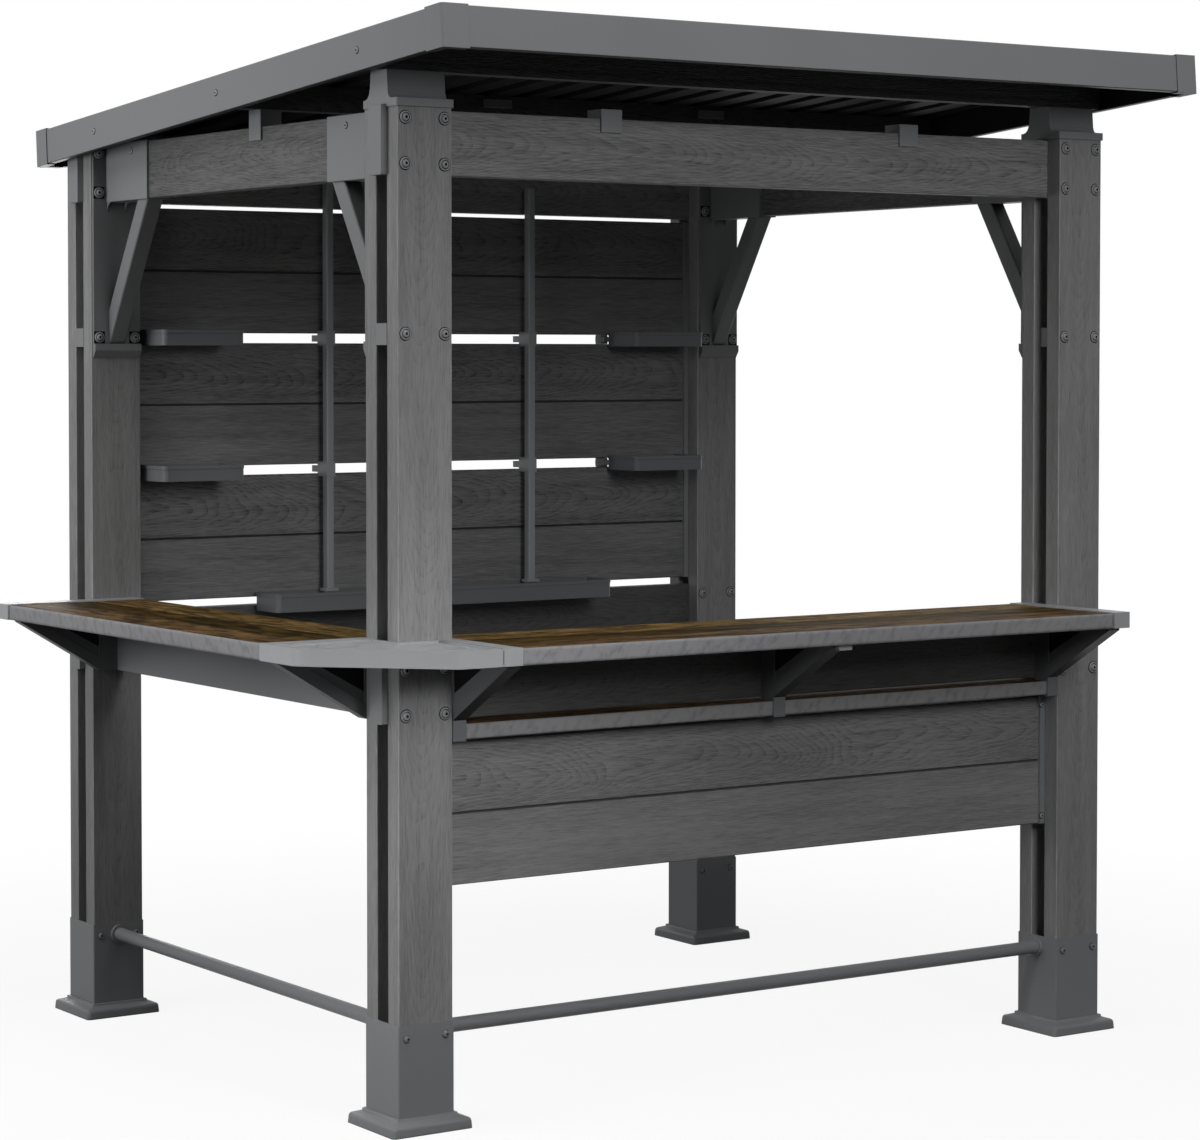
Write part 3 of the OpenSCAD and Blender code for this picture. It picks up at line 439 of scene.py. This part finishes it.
# %% Finishes of the carried-over solids
finish = {
    resin_z: ["front_left_post", "front_right_post", "back_left_post", "back_right_post"],
    resin_x: ["front_top_beam", "back_top_beam"],
    painted_shade_resin_rail: ["front_bar_rail", "back_bar_rail"],
    painted_shade_resin_purlin: ["front_purlin", "mid_purlin", "rear_purlin"],
    resin_panel: ["front_panel"],
    resin_wall: ["back_wall_panels"],
    resin_y: ["left_top_beam", "right_top_beam"],
    fascia_coat: ["front_fascia", "back_fascia", "side_fascias", "fascia_corners"],
    roof_coat: ["roof_sheet"],
    light_coat: ["corner_tray", "counter_trims", "bottle_opener"],
    tray_coat: ["bottle_shelf_brackets", "long_tray", "small_trays"],
    pole_coat: ["shelf_poles", "pole_clamps"],
    charcoal_coat: ["post_spacers", "post_sleeves", "base_covers", "beam_sleeves", "end_caps",
                    "left_apron", "front_post_caps", "beam_saddles", "panel_channels",
                    "front_foot_rail", "left_foot_rail"],
    knee_coat: ["left_knee_braces", "right_knee_braces"],
    bracket_coat_painted_shade: ["counter_brackets"],
}
for coat, names in finish.items():
    for name in names:
        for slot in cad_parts[name].material_slots:
            slot.material = coat
print("finished nodes:", sum(len(n) for n in finish.values()))

# %% [markdown]
# ## Counter boards
# The counters are three boards side by side: tan inside, dark in the middle and mid brown
# outside. Each is a bar with rounded edges. Weathered boards show long streaks, darker
# pores and saw marks across, so three noises of different stretch are mixed. The board is dry
# and open, so it has hardly any gloss. Scales are waves per metre, across and then along.

# %% Weathered board


def weathered_board(name, along, light, dark, pores):
    made, tree = blank(name)
    place = add(tree, "TexCoord").outputs["Object"]
    axis = "XYZ".index(along)
    streak, pore, saw = [30.0] * 3, [60.0] * 3, [20.0] * 3
    streak[axis], pore[axis], saw[axis] = 4.0, 13.0, 46.0
    streaks = add(tree, "Mapping", {"Vector": place, "Scale": streak}).outputs[0]
    streaks = add(tree, "TexNoise", {"Vector": streaks, "Scale": 1.0, "Detail": 5.0,
                                     "Roughness": 0.68}).outputs[0]
    dots = add(tree, "Mapping", {"Vector": place, "Scale": pore}).outputs[0]
    dots = add(tree, "TexNoise", {"Vector": dots, "Scale": 1.0, "Detail": 2.0}).outputs[0]
    marks = add(tree, "Mapping", {"Vector": place, "Scale": saw}).outputs[0]
    marks = add(tree, "TexNoise", {"Vector": marks, "Scale": 1.0, "Detail": 4.0,
                                   "Roughness": 0.7}).outputs[0]
    tone = add(tree, "MapRange", {0: streaks, 1: 0.4, 2: 0.58}).outputs[0]
    paint = add(tree, "Mix", {0: tone, 6: colour(dark), 7: colour(light)},
                data_type="RGBA").outputs[2]
    holes = add(tree, "MapRange", {0: dots, 1: 0.5, 2: 0.62, 3: 0.0, 4: 0.85}).outputs[0]
    paint = add(tree, "Mix", {0: holes, 6: paint, 7: colour(pores)},
                data_type="RGBA").outputs[2]
    shade = add(tree, "MapRange", {0: marks, 1: 0.32, 2: 0.68, 3: 0.62, 4: 1.34}).outputs[0]
    paint = add(tree, "VectorMath", {0: paint, 3: shade}, operation="SCALE").outputs[0]
    lift = add(tree, "Math", {0: dots, 1: -0.5, 2: streaks},
               operation="MULTIPLY_ADD").outputs[0]
    raised = add(tree, "Bump", {"Strength": 0.45, "Distance": 0.001, "Height": lift}).outputs[0]
    skin = add(tree, "BsdfPrincipled", {"Base Color": paint, "Roughness": 0.62,
                                        "Normal": raised, "Specular IOR Level": 0.03})
    add(tree, "OutputMaterial", {"Surface": skin.outputs[0]})
    return made


# light wood, dark wood and pores of each board
board_tones = {
    "tan": ("8a7044", "5a4526", "281d0e"),
    "dark": ("55431f", "1f170a", "0d0904"),
    "mid": ("70593a", "422f1e", "1e140c"),
}
boards = {(t, a): weathered_board("weathered_board_%s_%s" % (t, a.lower()), a, *c)
          for t, c in board_tones.items() for a in "XY"}
print("board finishes:", len(boards))

# %% [markdown]
# A board is a box whose edges are rounded with the bevel operator, placed in millimetres.

# %% Make the boards


def piece(name, mesh_maker, material):
    shape = bmesh.new()
    mesh_maker(shape)
    data = bpy.data.meshes.new(name)
    shape.to_mesh(data)
    shape.free()
    data.materials.append(material)
    made = bpy.data.objects.new(name, data)
    bpy.context.scene.collection.objects.link(made)
    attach(made, "root")
    return made


def bar(shape, low, high, round_by=1.5, steps=2):
    a, b = mm(*low), mm(*high)
    made = bmesh.ops.create_cube(shape, size=1.0)["verts"]
    stretch = Matrix.Translation((a + b) / 2) @ Matrix.Diagonal((*(b - a), 1))
    bmesh.ops.transform(shape, verts=made, matrix=stretch)
    edges = list({e for v in made for e in v.link_edges})
    bmesh.ops.bevel(shape, geom=edges, offset=round_by / 1000, segments=steps, affect="EDGES",
                    profile=0.5)


rail_top, counter_t, counter_out, counter_in = 1020.0, 36.0, 246.0, 122.0
lip = 9.0                               # depth of the hewn strip on the outer edge
start = 156.0                           # behind the corner tray
end_strip = 49.0                        # the grey strip at a counter's far end
gap = 0.5                               # half the joint between two boards
front_end = span_w - plank_in - end_strip
left_end = span_d - plank_in - end_strip
outer_joint, inner_joint = -123.0, -12.0
# name, finish, from, to, and how much lower it lies
strips = [("outer", "mid", lip - counter_out, outer_joint, 0.0),
          ("middle", "dark", outer_joint, inner_joint, -0.5),
          ("inner", "tan", inner_joint, counter_in, -0.2)]
made_boards = {"front": [], "left": []}
for label, tone, a, b, rise in strips:
    top = rail_top + counter_t + rise
    made_boards["front"].append(piece(
        "front_counter_board_" + label,
        lambda s: bar(s, (start, a + gap, rail_top), (front_end, b - gap, top)),
        boards[tone, "X"]))
    made_boards["left"].append(piece(
        "left_counter_board_" + label,
        lambda s: bar(s, (a + gap, start, rail_top), (b - gap, left_end, top)),
        boards[tone, "Y"]))
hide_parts("front_counter")
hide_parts("left_counter")
print("counter boards:", sum(len(v) for v in made_boards.values()))

# %% [markdown]
# The outer edges of the counters and of the bottle shelf look hewn: shallow slanting chips in a
# grey board. A strip with a fine grid on its face is pushed in by noise, up to 2 mm, and the
# finish has darker slanting marks: noise in two directions that cross, one stretched.

# %% Hewn edge finish
hewn, tree = blank("hewn_grey_board_edge")
place = add(tree, "TexCoord").outputs["Object"]
axes = add(tree, "SeparateXYZ", {0: place}).outputs
run = add(tree, "Math", {0: axes[0], 1: axes[1]}, operation="ADD").outputs[0]
leaning = add(tree, "Math", {0: axes[2], 1: 0.8, 2: run}, operation="MULTIPLY_ADD").outputs[0]
crossing = add(tree, "Math", {0: axes[2], 1: -0.8, 2: run}, operation="MULTIPLY_ADD").outputs[0]
slant = add(tree, "CombineXYZ", {0: leaning, 1: crossing}).outputs[0]
slant = add(tree, "Mapping", {"Vector": slant, "Scale": (24, 48, 1)}).outputs[0]
chips = add(tree, "TexNoise", {"Vector": slant, "Scale": 1.0, "Detail": 3.0,
                               "Roughness": 0.55}).outputs[0]
grit = add(tree, "TexNoise", {"Vector": place, "Scale": 420.0, "Detail": 2.0}).outputs[0]
tone = add(tree, "MapRange", {0: chips, 1: 0.48, 2: 0.72}).outputs[0]
paint = add(tree, "Mix", {0: tone, 6: colour("8f8f91"), 7: colour("7b7b7d")},
            data_type="RGBA").outputs[2]
both = add(tree, "Math", {0: grit, 1: 0.12, 2: chips}, operation="MULTIPLY_ADD").outputs[0]
raised = add(tree, "Bump", {"Strength": 0.35, "Distance": 0.0014, "Height": both}).outputs[0]
rough = add(tree, "MapRange", {0: grit, 1: 0.3, 2: 0.7, 3: 0.58, 4: 0.74}).outputs[0]
skin = add(tree, "BsdfPrincipled", {"Base Color": paint, "Roughness": rough, "Normal": raised,
                                    "Specular IOR Level": 0.1})
add(tree, "OutputMaterial", {"Surface": skin.outputs[0]})
print("hewn edge finish")

# %% Hewn edge strips
hewn_step, hewn_rows = 0.007, 7         # grid on the face: metres along it, rows over its height
hewn_mean, hewn_swing = 0.0008, 0.0006  # how far it is pushed in, and how much that varies
hewn_rim = 0.00081                      # how much further at its upper and lower edge
top_gap = 0.3                           # the strip ends this far under the board's top


def hewn_strip(shape, begin, end, depth, height, out):
    """A strip from begin to end whose face looks along out; begin is its outer lower corner."""
    run = end - begin
    steps = max(8, int(run.length / hewn_step))
    back = -out * depth / 1000
    grid = []
    for i in range(steps + 1):
        column = []
        for j in range(hewn_rows + 1):
            p = begin + run * (i / steps) + Vector((0, 0, height / 1000 * j / hewn_rows))
            slant = Vector((p.x + p.y * 0.9, p.z * 1.6, p.x * 0.7 - p.z))
            chip = noise.noise(slant * 34) * 0.5
            chip = chip + noise.noise(slant * 78 + Vector((7, 3, 1))) * 0.35
            rim = hewn_rim if j in (0, hewn_rows) else 0.0
            sunk = hewn_mean + hewn_swing * chip + rim
            column.append(shape.verts.new(p - out * sunk))
        foot = begin + run * (i / steps)
        column.append(shape.verts.new(foot + Vector((0, 0, height / 1000)) + back))
        column.append(shape.verts.new(foot + back))
        grid.append(column)
    for left, right in zip(grid, grid[1:]):
        for j in range(len(left)):
            k = (j + 1) % len(left)
            shape.faces.new((left[j], right[j], right[k], left[k]))
    for ring in (grid[0], grid[-1]):
        shape.faces.new(ring)
    bmesh.ops.recalc_face_normals(shape, faces=shape.faces)
    for face in shape.faces:
        face.smooth = True


piece("front_counter_edge", lambda s: hewn_strip(
    s, mm(start, -counter_out, rail_top), mm(front_end, -counter_out, rail_top), lip,
    counter_t - top_gap, Vector((0, -1, 0))), hewn)
piece("left_counter_edge", lambda s: hewn_strip(
    s, mm(-counter_out, start, rail_top), mm(-counter_out, left_end, rail_top), lip,
    counter_t - top_gap, Vector((-1, 0, 0))), hewn)
print("hewn strips on both counters")

# %% [markdown]
# The bottle shelf is the same: a brown board with a hewn grey edge. Its back board runs on behind
# the brackets and reaches the panel, so no light shows through.

# %% Bottle shelf
low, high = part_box("bottle_shelf")
shelf_low = [(v * 1000) for v in (low - corner)]
shelf_high = [(v * 1000) for v in (high - corner)]
shelf_z0, shelf_z1 = low.z * 1000, high.z * 1000
shelf_mid, bracket_w, bracket_back, edge_t = span_w / 2 + 13, 34.0, 49.0, 7.0
shelf_back = shelf_high[1] + 18
shelf_parts = [(shelf_low[0], shelf_mid - bracket_w / 2),
               (shelf_mid + bracket_w / 2, shelf_high[0])]
shelf_boards = [piece("bottle_shelf_board_back", lambda s: bar(
    s, (post_w - 1, bracket_back, shelf_z0), (span_w - post_w + 1, shelf_back, shelf_z1)),
    boards["mid", "X"])]
for n, (a, b) in enumerate(shelf_parts):
    shelf_boards.append(piece("bottle_shelf_board_%d" % (n + 1), lambda s: bar(
        s, (a, shelf_low[1] + edge_t, shelf_z0), (b, bracket_back - gap, shelf_z1)),
        boards["mid", "X"]))
    piece("bottle_shelf_edge_%d" % (n + 1), lambda s: hewn_strip(
        s, mm(a, shelf_low[1], shelf_z0), mm(b, shelf_low[1], shelf_z0), edge_t,
        shelf_z1 - shelf_z0 - top_gap, Vector((0, -1, 0))), hewn)
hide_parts("bottle_shelf")
print("bottle shelf boards:", len(shelf_boards))

# %% [markdown]
# ## Bolts and screws
# The planks are clamped by bolts with a domed washer, a low head and a small socket. One outline is
# turned about its axis. Stretches of the outline marked dark are painted shade: a painted contact
# shadow round the foot of the washer, and painted shade in the gap round the head and in the
# socket, so a bolt keeps its rings even in flat light.

# %% Bolt maker
# each point: radius, height, and whether the stretch from it on is dark with painted shade
washer_bolt = [(15.0, 0.0, 1), (15.0, 0.5, 1), (13.2, 0.6, 0), (13.0, 2.6, 0), (11.8, 3.6, 0),
               (10.2, 3.4, 1), (9.5, 2.4, 1), (8.4, 2.2, 0), (8.2, 3.6, 0), (7.2, 5.4, 0),
               (5.2, 6.4, 0), (3.2, 6.6, 1), (2.8, 4.0, 1), (0.0, 3.8, 1)]
dome_bolt = [(9.2, 0.0, 1), (9.2, 0.5, 1), (8.4, 0.6, 0), (8.2, 2.8, 0), (7.2, 5.0, 0),
             (5.2, 6.5, 0), (2.4, 7.0, 1), (2.0, 5.0, 1), (0.0, 4.8, 1)]
small_screw = [(8.2, 0.0, 1), (8.2, 0.3, 1), (6.6, 0.4, 0), (6.2, 1.8, 0), (4.4, 2.8, 0),
               (2.6, 3.0, 1), (2.2, 1.6, 1), (0.0, 1.5, 1)]


def bolt(shape, outline, place, out, sides=24):
    spin = Vector(out).to_track_quat("Z", "Y").to_matrix().to_4x4()
    here = Matrix.Translation(place) @ spin @ Matrix.Scale(0.001, 4)
    rings = []
    turns = [2 * math.pi * k / sides for k in range(sides)]
    for r, z, _ in outline[:-1]:
        circle = [Vector((r * math.cos(t), r * math.sin(t), z)) for t in turns]
        rings.append([shape.verts.new(here @ v) for v in circle])
    tip = shape.verts.new(here @ Vector((0, 0, outline[-1][1])))
    for n, (a, b) in enumerate(zip(rings, rings[1:])):
        for k in range(sides):
            face = shape.faces.new((a[k], a[(k + 1) % sides], b[(k + 1) % sides], b[k]))
            face.smooth = True
            face.material_index = outline[n][2]
    for k in range(sides):
        face = shape.faces.new((rings[-1][k], rings[-1][(k + 1) % sides], tip))
        face.smooth = True
        face.material_index = 1
    shape.faces.new(rings[0][::-1]).material_index = 1


def bolts(name, mesh_maker, material):
    made = piece(name, mesh_maker, material)
    # the second slot is black: painted shade on the dark stretches
    made.data.materials.append(black_painted_shade_and_seams)
    return made


# %% [markdown]
# Bolts sit in the same places on all four posts: two columns, in rows at the beam, the middle
# spacer and the bar rail. The plates of the knee braces lie on the inner faces, so there the
# bolts sit on the plate.

# %% Bolts through the planks
knee_plate_t, knee_z = 8.0, 1665.0       # thickness and lower end of a knee brace's plate
holes_x = (21.0, 119.0)
beam_holes = (2176.5, 2078.5)
mid_hole = 1716.0
rail_holes = (997.0, 899.0)
sleeve_hole = 205.0


def post_bolts(shape):
    for px in (0, right_x):
        for py, inner in ((0, 1), (back_y, -1)):
            for hx in holes_x:
                for z in (*beam_holes, mid_hole, *rail_holes):
                    for way in (-1, 1):
                        lift = knee_plate_t if way == inner and z > knee_z else 0
                        y = py + (plank_face - lift if way < 0 else plank_in + lift)
                        bolt(shape, washer_bolt, mm(px + hx, y, z), (0, way, 0))


def sleeve_bolts(shape):
    for px in (0, right_x):
        for py in (0, back_y):
            for hx in holes_x:
                bolt(shape, dome_bolt, mm(px + hx, py, sleeve_hole), (0, -1, 0))
                bolt(shape, dome_bolt, mm(px + hx, py + post_w, sleeve_hole), (0, 1, 0))


bolts("post_bolts", post_bolts, bolt_grey)
bolts("sleeve_bolts", sleeve_bolts, bolt_dark)
print("bolts in posts and sleeves")

# %% [markdown]
# Smaller screws hold the side fascias, the sleeves on the side beams and the panel channels. The
# right side repeats the left one.

# %% Small screws
screw_sides = 16
# y and z on the side fascias, then places on the beam sleeves and on the panel channels
fascia_rows = ((79.0, 2320.0), (723.0, 2273.0), (1367.0, 2222.0))
cuff_row, cuff_z, cuff_x = 150.0, 2176.5, 41.5
channel_x, channel_y, channel_in = 147.0, 47.5, 20.0
fascia_x = (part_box("side_fascias")[0].x - corner.x) * 1000
panel_z0, panel_z1 = panel_z * 1000, panel_top * 1000


def small_screws(shape):
    for out in (-1, 1):
        mirror = (lambda x: x) if out < 0 else (lambda x: span_w - x)
        for y, z in fascia_rows:
            bolt(shape, small_screw, mm(mirror(fascia_x), y, z), (out, 0, 0), screw_sides)
        for y in (plank_in + cuff_row, span_d - plank_in - cuff_row):
            bolt(shape, small_screw, mm(mirror(cuff_x), y, cuff_z), (out, 0, 0), screw_sides)
        for z in (panel_z0 + channel_in, panel_z1 - channel_in):
            bolt(shape, small_screw, mm(mirror(channel_x), channel_y, z), (0, -1, 0), screw_sides)


bolts("small_screws", small_screws, bolt_grey)
print("small screws on fascias, sleeves and channels")

# %% [markdown]
# ## Base covers
# Each foot wears a moulded cover: a rim that leans out a little, a rounded edge, a shallow slope
# and a small lip against the sleeve. It is a stack of rounded squares, one for each point of that
# outline, because the soft edges are what catches the light. Corners get tighter towards the lip.

# %% Base covers
# how far it reaches past the sleeve, and height
cover_outline = [(31.0, 0.0), (30.8, 3.0), (29.8, 15.0), (29.2, 18.2), (27.6, 21.0), (25.2, 22.6),
                 (22.4, 23.4), (8.2, 27.8), (7.0, 28.3), (6.6, 28.8), (6.2, 32.6), (5.6, 33.6),
                 (4.8, 34.0), (-1.0, 34.0)]
corner_least, corner_rise, corner_steps = 2.0, 0.25, 6


def base_covers(shape):
    for px in (post_w / 2, right_x + post_w / 2):
        for py in (post_w / 2, back_y + post_w / 2):
            rings = []
            for over, z in cover_outline:
                r = corner_least + corner_rise * over
                reach = post_w / 2 + over - r
                ring = []
                for k, (sx, sy) in enumerate(((1, 1), (-1, 1), (-1, -1), (1, -1))):
                    for n in range(corner_steps + 1):
                        t = math.pi / 2 * (k + n / corner_steps)
                        x = px + sx * reach + r * math.cos(t)
                        y = py + sy * reach + r * math.sin(t)
                        ring.append(shape.verts.new(mm(x, y, z)))
                rings.append(ring)
            for a, b in zip(rings, rings[1:]):
                for n in range(len(a)):
                    k = (n + 1) % len(a)
                    shape.faces.new((a[n], a[k], b[k], b[n])).smooth = True
            shape.faces.new(rings[0][::-1])
            shape.faces.new(rings[-1])


covers = piece("base_cover_mouldings", base_covers, charcoal_coat)
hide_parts("base_covers")
print("base covers: 4")

# %% [markdown]
# Small things are left: dark square seats under the bolts of the knee plates, the seam between the
# corner tray and its front arm, the moulded hooks that fill the slits beside the small trays, and
# black sheets of painted shade in the hollows of the counter brackets, which lie in the shade of the
# counter.

# %% Seats, seam, hooks and painted shade in the hollows
seat, seat_t = 15.0, 0.6                # half the side of a bolt's seat, and its thickness
tray_low, tray_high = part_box("corner_tray")
seam_x, seam_y, seam_half = 108.0, (tray_low.y - corner.y) * 1000, 0.7
tray_z0, tray_z1 = tray_low.z * 1000, tray_high.z * 1000
trays_low, trays_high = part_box("small_trays")
hook_w, hook_h, wall_t = 22.0, 12.5, 30.0
wall_y = (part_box("back_wall_panels")[0].y - corner.y) * 1000
hooks_x = ((trays_low.x - corner.x) * 1000, (trays_high.x - corner.x) * 1000 - hook_w)
tray_l = 234.0 + 2 * 16.0               # a small tray with its two hooks
slits_z = (1371.75, 1715.75)
# a bracket's hollow: out from the rail and down from its top; then how deep it lies
hollow, sink = ((-3.0, -18.0), (-3.0, -78.0), (-112.0, -18.0)), 2.0
apron_cuff = 14.0                       # the far left bracket stands off the post by the apron's end
# a black sheet of painted shade in each bracket's hollow
sheet_t, sheet_lift = 0.35, 0.4         # dark sheet in a hollow


def plate(shape, corners, push):
    front = [shape.verts.new(mm(*c)) for c in corners]
    back = [shape.verts.new(v.co + Vector(push) / 1000) for v in front]
    shape.faces.new(front)
    shape.faces.new(back[::-1])
    for n in range(len(front)):
        k = (n + 1) % len(front)
        shape.faces.new((front[n], back[n], back[k], front[k]))
    bmesh.ops.recalc_face_normals(shape, faces=shape.faces)


def bolt_seats(shape):
    for px in (0, right_x):
        for y0, y1 in ((plank_in, seat_t), (back_y + plank_face, -seat_t)):
            face = y0 + math.copysign(knee_plate_t, y1)
            for hx in holes_x:
                for z in (beam_holes[1], mid_hole):
                    low, high = sorted((face, face + y1))
                    bar(shape, (px + hx - seat, low, z - seat), (px + hx + seat, high, z + seat),
                        0.25, 1)


def tray_seam(shape):
    left, right = seam_x - seam_half, seam_x + seam_half
    bar(shape, (left, seam_y - 0.2, tray_z0 + 4), (right, seam_y + 1, tray_z1 - 3), 0.1, 1)
    bar(shape, (left, seam_y + 3, tray_z1 - 1), (right, -4, tray_z1 + 0.2), 0.1, 1)


def slit_hooks(shape):
    skin = 0.3
    for x in (hooks_x[0], hooks_x[0] + tray_l - hook_w, hooks_x[1] - tray_l + hook_w, hooks_x[1]):
        for z in slits_z:
            bar(shape, (x - skin, wall_y + skin, z - hook_h),
                (x + hook_w + skin, wall_y + wall_t - skin, z + hook_h))


def bracket_hollow_painted_shade(shape):
    for x in (plank_in, shelf_mid - bracket_w / 2, span_w - plank_in - bracket_w):
        face = x + sink - sheet_lift
        plate(shape, [(face, u, rail_top + v) for u, v in hollow], (sheet_t, 0, 0))
    for y in (plank_in, span_d - plank_in - bracket_w - apron_cuff):
        face = y + sink - sheet_lift
        plate(shape, [(u, face, rail_top + v) for u, v in hollow], (0, sheet_t, 0))


piece("bracket_hollow_painted_shade", bracket_hollow_painted_shade, black_painted_shade_and_seams)
piece("bolt_seats", bolt_seats, black_painted_shade_and_seams)
piece("tray_seam", tray_seam, black_painted_shade_and_seams)
piece("slit_hooks", slit_hooks, tray_coat)
print("seats, seam, hooks and hollows")
